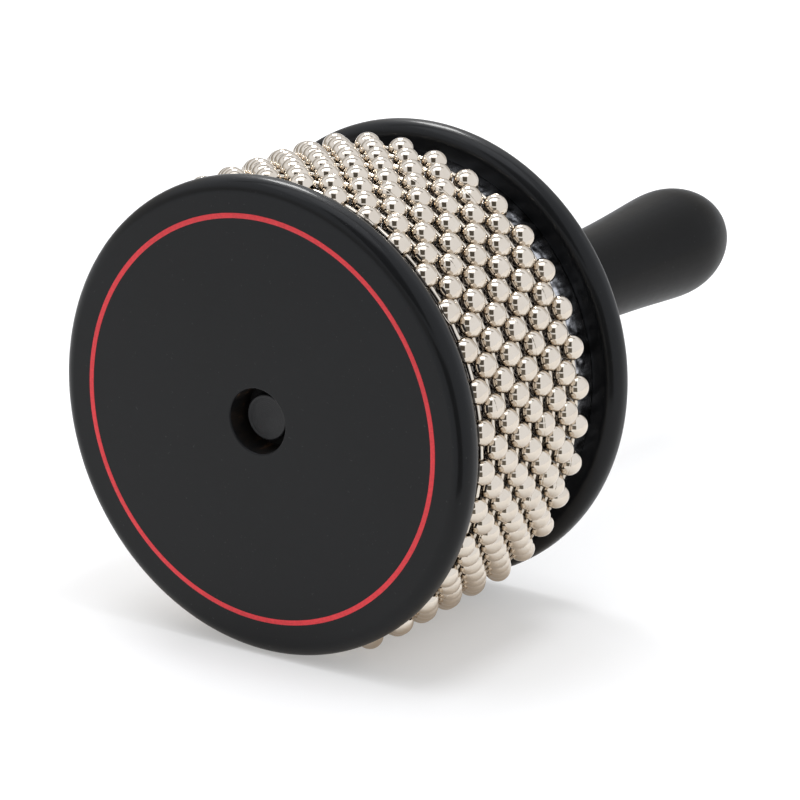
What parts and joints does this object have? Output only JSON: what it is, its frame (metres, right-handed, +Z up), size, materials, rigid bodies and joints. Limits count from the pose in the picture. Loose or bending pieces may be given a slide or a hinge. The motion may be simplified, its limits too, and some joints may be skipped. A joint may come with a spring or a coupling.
{
  "type": "cabasa",
  "caption": "Hand-held percussion shaker: a short drum between two black discs, wound with loose loops of plated ball chain, on a turned black handle.",
  "frame": {"origin": "on the table under the middle of the object, which lies on its side with its lowest beads touching the table", "axes": "+Z up; the drum's axis lies along Y, with the front disc facing -Y and the handle pointing to +Y"},
  "size_m": [0.102, 0.1834, 0.1021],
  "materials": {
    "black_paint": "satin black lacquer on turned wood",
    "black_spindle": "matte black lacquer on end grain",
    "textured_steel": "stainless sheet with a rough hammered texture",
    "bare_wood": "bare turned wood",
    "nickel_beads": "bright nickel plate",
    "nickel_links": "bright nickel plate"
  },
  "bodies": {
    "drum": {"front_flange": "black_paint", "rear_flange": "black_paint", "handle": "black_paint", "spindle": "black_spindle", "sleeve": "textured_steel", "drum_core": "bare_wood", "front_dowels": "bare_wood", "rear_dowels": "bare_wood"},
    "bead_jacket": {"bead_loop_1": "nickel_beads", "link_set_1": "nickel_links", "bead_loop_2": "nickel_beads", "link_set_2": "nickel_links", "bead_loop_3": "nickel_beads", "link_set_3": "nickel_links", "bead_loop_4": "nickel_beads", "link_set_4": "nickel_links", "bead_loop_5": "nickel_beads", "link_set_5": "nickel_links", "bead_loop_6": "nickel_beads", "link_set_6": "nickel_links", "bead_loop_7": "nickel_beads", "link_set_7": "nickel_links", "bead_loop_8": "nickel_beads", "link_set_8": "nickel_links", "bead_loop_9": "nickel_beads", "link_set_9": "nickel_links"}
  },
  "joints": [
    {"name": "bead_jacket_turn", "type": "hinge", "parent": "drum", "child": "bead_jacket", "pos_m": [0, -0.0641, 0.05105], "axis": [0, 1, 0], "continuous": true}
  ]
}
